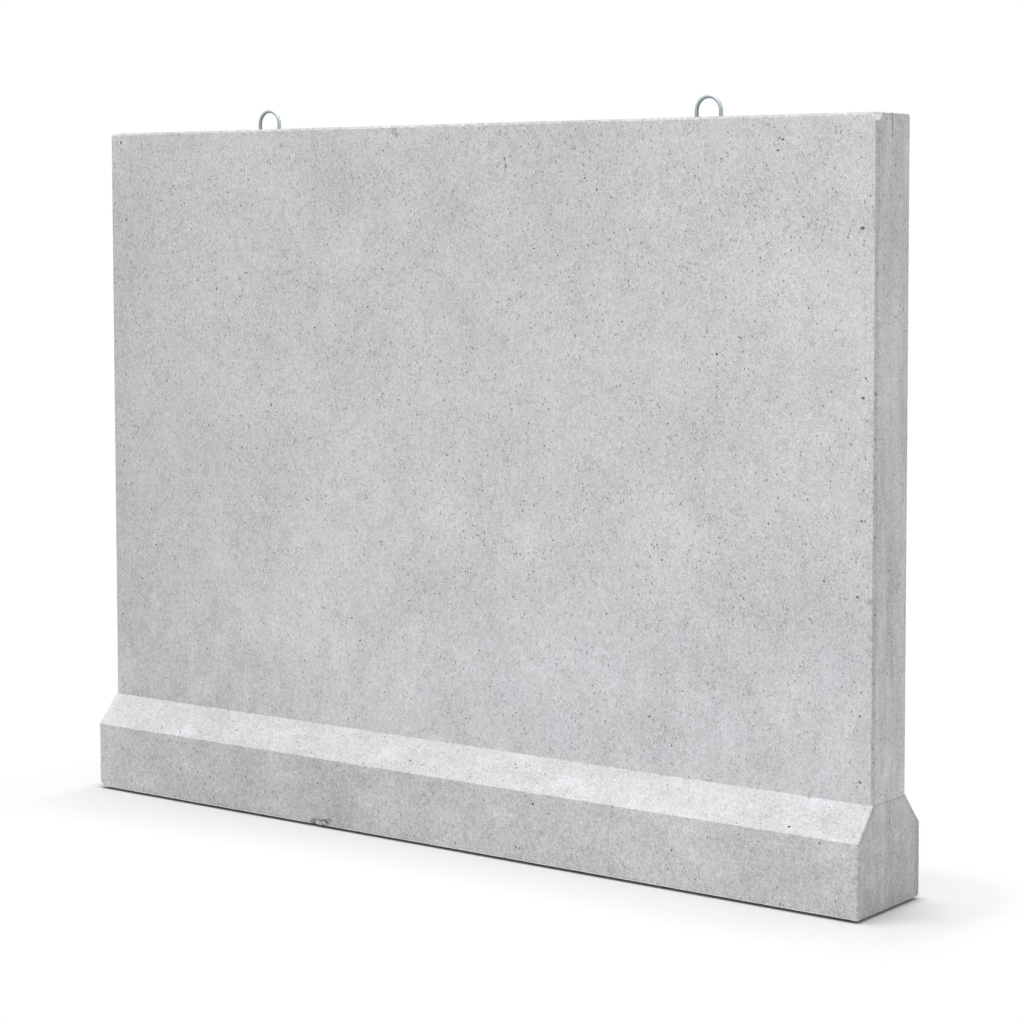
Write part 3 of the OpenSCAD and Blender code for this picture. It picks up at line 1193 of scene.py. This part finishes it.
class PRECAST_OT_foot(bpy.types.Operator):
    """Model the worn foot with its haunch and give it its concrete"""
    bl_idname = "precast.foot"
    bl_label = "Foot"

    slope_run = FOOT_HIGH.y - STEM_HIGH.y
    slope_rise = FOOT_HIGH.z - HAUNCH_FOOT

    def execute(self, context):
        settings = context.scene.precast_concrete
        piece = self.worn_block(settings)
        piece.data.materials.append(self.concrete(settings))
        faces = []
        for side in (-1, 1):
            faces += upright_faces(side, FOOT_HIGH, FOOT_LOW.z, HAUNCH_FOOT)
            faces.append(self.haunch_face(side))
        marks = (rough_lump(2, 0.20, 5), shallow_places(SPALLS, FOOT_HIGH.y),
                 patch_material("Spalled concrete", SPALL_TONE))
        pit_surface(piece, faces, self.arrises(), marks, settings.seed + 1)
        seat_piece(piece, "wall_foot")
        return {"FINISHED"}

    def worn_block(self, settings):
        """The block with its haunch sawn, its arrises worn and its corners knocked off."""
        low, high = FOOT_LOW, FOOT_HIGH
        piece = start_block("foot_casting", low, high)
        for side in (-1, 1):
            slope = Vector((0, side * self.slope_rise, self.slope_run))
            saw_off((0, side * high.y, HAUNCH_FOOT), slope)
            saw_off((0, side * (high.y - SOLE_ARRIS), low.z), (0, side, -1))
            saw_off((side * (high.x - SOLE_ARRIS), 0, low.z), (side, 0, -1))
            for end in (-1, 1):
                saw_off((end * (high.x - FOOT_ARRIS), side * high.y, 0), (end, side, 0))
                saw_off((end * (high.x - END_ARRIS), side * high.y, HAUNCH_FOOT),
                        Vector((end, 0, 0)) + slope.normalized())
        for end, side, reach in SOLE_CORNERS:
            knock_off_corner(Vector((end * high.x, side * high.y, low.z)),
                             (-end * reach, -side * 0.9 * reach, 0.8 * reach))
        score_across(low, high, 0)
        rim_flat_sides(piece, settings.rim_width)

        def gap(point):
            """How far a point lies from the nearest arris, over the two faces beside it."""
            from_end = high.x - abs(point.x)
            drawn_in = max(0, point.z - HAUNCH_FOOT) * self.slope_run / self.slope_rise
            from_side = high.y - drawn_in - abs(point.y)
            from_sole = point.z - low.z
            from_haunch = abs(point.z - HAUNCH_FOOT)
            return min(from_end + from_side, from_side + from_sole, from_end + from_sole,
                       from_side + from_haunch)

        def worn(point):
            """How much of the wear a point takes: all on an arris, none at the joint."""
            on_arris = gap(point) < 0.6 * ARRIS
            below_joint = point.z < high.z - 2 * MM
            return float(on_arris and below_joint)

        divide_arrises(piece, settings.rim_pitch, lambda point: gap(point) < rim_reach())
        bpy.ops.object.mode_set(mode="OBJECT")
        wear_arrises(piece, settings.arris_loss, worn)
        return piece

    def concrete(self, settings):
        """The foot's concrete: painted light on the haunch and towards the right, and a painted
        highlight at its sole.
        """
        sole_top = FOOT_LOW.z + SOLE_ARRIS

        def half_width(tree, height):
            above = greatest(tree, minus(tree, height, HAUNCH_FOOT), 0.0)
            return minus(tree, FOOT_HIGH.y,
                         product(tree, above, self.slope_run / self.slope_rise))

        def lift(tree, x, height):
            # Painted light on the haunch and towards the right below it, and a painted
            # highlight along the sole.
            painted_haunch_light = remap(tree, height, HAUNCH_FOOT, HAUNCH_FOOT + 2 * MM, 0.0,
                            settings.haunch_lift)
            painted_lift = remap(tree, height, sole_top, sole_top + 3 * MM, settings.sole_highlight, 0.0)
            painted_rightward_light = product(tree, remap(tree, x, 0.3, 1.9, -0.01, 0.04),
                                 maths(tree, "LESS_THAN", height, HAUNCH_FOOT))
            return total(tree, painted_haunch_light, painted_lift, painted_rightward_light)

        def bluish(tree, x, height):
            return 0.2

        def grain(tree, height):
            return remap(tree, height, HAUNCH_FOOT, HAUNCH_FOOT + 5 * MM, 0.61, 0.48)

        out_of_reach = 1.0        # above the foot: the stem covers its top arrises
        return concrete_material(
            "Foot concrete", settings.foot_tone, half_width, FOOT_HIGH.z + out_of_reach,
            lift, bluish, end_shade=0.045, arris=(FOOT_ARRIS, 0.10, 0.30, 26 * MM),
            mottling=(0.7, 1.0, 1.5), grain=grain, pinholes=(0.035, 0.035))

    def haunch_face(self, side):
        """The haunch's slope towards a side, less a tenth at its foot and at its top."""
        length = 2 * (FOOT_HIGH.x - CLEAR_OF_ARRIS)
        up = Vector((0, -side * self.slope_run, self.slope_rise))
        start = Vector((side * (FOOT_HIGH.x - CLEAR_OF_ARRIS), side * FOOT_HIGH.y,
                        HAUNCH_FOOT))
        return FlatFace(start + 0.1 * up, (-side * length, 0, 0), 0.8 * up)

    @staticmethod
    def arrises():
        """The worn lines of the foot."""
        low, high = FOOT_LOW, FOOT_HIGH
        half = ARRIS / 2
        lines = []
        for side in (-1, 1):
            lines.append(level_arris(high, side * high.y, HAUNCH_FOOT, (0, side, 0.5)))
            lines.append(level_arris(high, side * (high.y - half), low.z + half,
                                     (0, side, -1)))
            for end in (-1, 1):
                lines.append(upright_arris(end, side, high, low.z + ARRIS,
                                           HAUNCH_FOOT - low.z - ARRIS))
        return lines


class PRECAST_OT_loops(bpy.types.Operator):
    """Galvanise the lifting loops"""
    bl_idname = "precast.loops"
    bl_label = "Lifting loops"

    def execute(self, context):
        zinc = zinc_material()
        for name in LOOPS:
            self.smooth_bar(name, zinc)
        return {"FINISHED"}

    @staticmethod
    def smooth_bar(node, zinc):
        """Puts a seamless, smooth copy of a loop in its place."""
        bar = bpy.data.objects.new(node + "_bar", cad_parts[node].data.copy())
        bpy.context.scene.collection.objects.link(bar)
        take_up(bar)
        bpy.ops.object.mode_set(mode="EDIT")
        bpy.ops.mesh.select_all(action="SELECT")
        bpy.ops.mesh.remove_doubles(threshold=0.01 * MM)
        bpy.ops.object.mode_set(mode="OBJECT")
        bpy.ops.object.shade_smooth_by_angle(angle=math.radians(40))
        bar.data.materials.clear()
        bar.data.materials.append(zinc)
        seat_piece(bar, node)


class PRECAST_OT_mat(bpy.types.Operator):
    """Give the bearing mat its bonded crumb"""
    bl_idname = "precast.mat"
    bl_label = "Bearing mat"

    def execute(self, context):
        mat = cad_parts["bearing_mat"]
        mat.data.materials.clear()
        mat.data.materials.append(crumb_material())
        return {"FINISHED"}


class PRECAST_OT_stage(bpy.types.Operator):
    """Lay the floor, hang the lamps and stand the camera"""
    bl_idname = "precast.stage"
    bl_label = "Stage"

    def execute(self, context):
        settings = context.scene.precast_stage
        bpy.ops.object.select_all(action="DESELECT")
        bpy.ops.mesh.primitive_plane_add(size=FLOOR_SIDE, location=(0, 0, CAD_LOW.z))
        floor = context.object
        floor.name = "floor"
        floor.data.materials.append(self.floor_material(settings))
        self.even_light(settings)
        self.lamp("ceiling_lamp", place=(0, -1.0, 12), target=(0, -0.3, 0), size=8,
                  power=settings.ceiling_power)
        self.lamp("side_lamp", place=(4.6, -2.0, 3.2), target=(1.8, -0.2, 1.2), size=3,
                  power=settings.side_power)
        self.camera(settings)
        context.scene.view_settings.view_transform = "Standard"
        return {"FINISHED"}

    @staticmethod
    def floor_material(settings):
        """A matt pale floor, plain white to the camera away from the wall, with painted light
        near it.
        """
        material, tree, shader, place = new_material("Floor")
        shader.inputs["Base Color"].default_value = opaque(settings.floor_tone)
        shader.inputs["Roughness"].default_value = 1.0
        shader.inputs["Specular IOR Level"].default_value = 0.0
        white = add_node(tree, "ShaderNodeEmission", {"Color": opaque(WHITE), "Strength": 1.0})

        # Far from the wall: beyond its ends, and in front of or behind it.
        x, y, _ = parts(tree, place)
        beyond = minus(tree, unsigned(tree, x), CAD_HIGH.x)
        past_end = product(tree, greatest(tree, beyond, 0.0), 5.0)
        across = greatest(tree, product(tree, y, 3.0), unsigned(tree, y))
        away = maths(tree, "SQRT", total(tree, product(tree, past_end, past_end),
                                         product(tree, across, across)))
        far = remap(tree, away, 0.9, 2.4, 0.0, 1.0, "SMOOTHSTEP")

        # Near it the shadow stays in front and at the right. Behind the wall and beyond its
        # left end, painted light pales it, except where the wall covers the floor.
        behind = remap(tree, y, -0.05, 0.3, 0.0, 0.6)
        left = remap(tree, x, CAD_LOW.x, CAD_LOW.x - 0.10, 0.0, 0.85)
        past_side = minus(tree, unsigned(tree, y), CAD_HIGH.y)
        clear = remap(tree, greatest(tree, beyond, past_side), 0.005, 0.04)
        near = product(tree, greatest(tree, behind, left), clear)

        fade = product(tree, greatest(tree, far, near), seen_directly(tree))
        mix = add_node(tree, "ShaderNodeMixShader",
                       {0: fade, 1: shader.outputs[0], 2: white.outputs[0]})
        output = next(node for node in tree.nodes if node.type == "OUTPUT_MATERIAL")
        feed(tree, output.inputs["Surface"], mix.outputs[0])
        return material

    @staticmethod
    def even_light(settings):
        """Even light from all round. The camera sees it as plain white."""
        world = bpy.data.worlds.new("Studio")
        world.use_nodes = True
        tree = world.node_tree
        tree.nodes.clear()
        light, white = [add_node(tree, "ShaderNodeBackground",
                                 {"Color": opaque(WHITE), "Strength": strength})
                        for strength in (settings.daylight, 1.0)]
        mix = add_node(tree, "ShaderNodeMixShader",
                       {0: seen_directly(tree), 1: light.outputs[0], 2: white.outputs[0]})
        add_node(tree, "ShaderNodeOutputWorld", {"Surface": mix.outputs[0]})
        bpy.context.scene.world = world

    @staticmethod
    def lamp(name, place, target, size, power):
        """A square soft lamp that faces a target."""
        heading = (Vector(target) - Vector(place)).to_track_quat("-Z", "Y").to_euler()
        bpy.ops.object.light_add(type="AREA", location=place, rotation=heading)
        lamp = bpy.context.object
        lamp.name = name
        lamp.data.size = size
        lamp.data.energy = power
        lamp.visible_camera = False

    @staticmethod
    def camera(settings):
        """The camera, with as much shift as the framing needs."""
        bpy.ops.object.camera_add(location=settings.camera_place,
                                  rotation=settings.camera_turn)
        camera = bpy.context.object
        camera.data.sensor_width = SENSOR_WIDTH
        camera.data.lens = settings.lens
        camera.data.shift_y = -settings.camera_drop
        camera.data.clip_end = 200
        bpy.context.scene.camera = camera


class PRECAST_PT_sidebar(bpy.types.Panel):
    """The wall's finishes, in the order in which they are made"""
    bl_label = "Precast Wall"
    bl_idname = "PRECAST_PT_sidebar"
    bl_space_type = "VIEW_3D"
    bl_region_type = "UI"
    bl_category = "Precast Wall"

    def draw(self, context):
        for step in STEPS:
            self.layout.operator(step.bl_idname)


SETTINGS = {
    "precast_concrete": ConcreteSettings,
    "precast_fittings": FittingSettings,
    "precast_stage": StageSettings,
}
STEPS = (PRECAST_OT_stage, PRECAST_OT_stem, PRECAST_OT_foot, PRECAST_OT_loops, PRECAST_OT_mat)


def register():
    for settings in SETTINGS.values():
        bpy.utils.register_class(settings)
    for step in (*STEPS, PRECAST_PT_sidebar):
        bpy.utils.register_class(step)
    for name, settings in SETTINGS.items():
        setattr(bpy.types.Scene, name, bpy.props.PointerProperty(type=settings))


def unregister():
    for name in SETTINGS:
        delattr(bpy.types.Scene, name)
    for step in (PRECAST_PT_sidebar, *reversed(STEPS)):
        bpy.utils.unregister_class(step)
    for settings in reversed(SETTINGS.values()):
        bpy.utils.unregister_class(settings)


def main():
    """Dresses the wall, step by step."""
    register()
    make_node_groups()
    lining_material()
    bpy.ops.precast.stage()
    bpy.ops.precast.stem()
    bpy.ops.precast.foot()
    bpy.ops.precast.loops()
    bpy.ops.precast.mat()


if __name__ == "__main__":
    main()
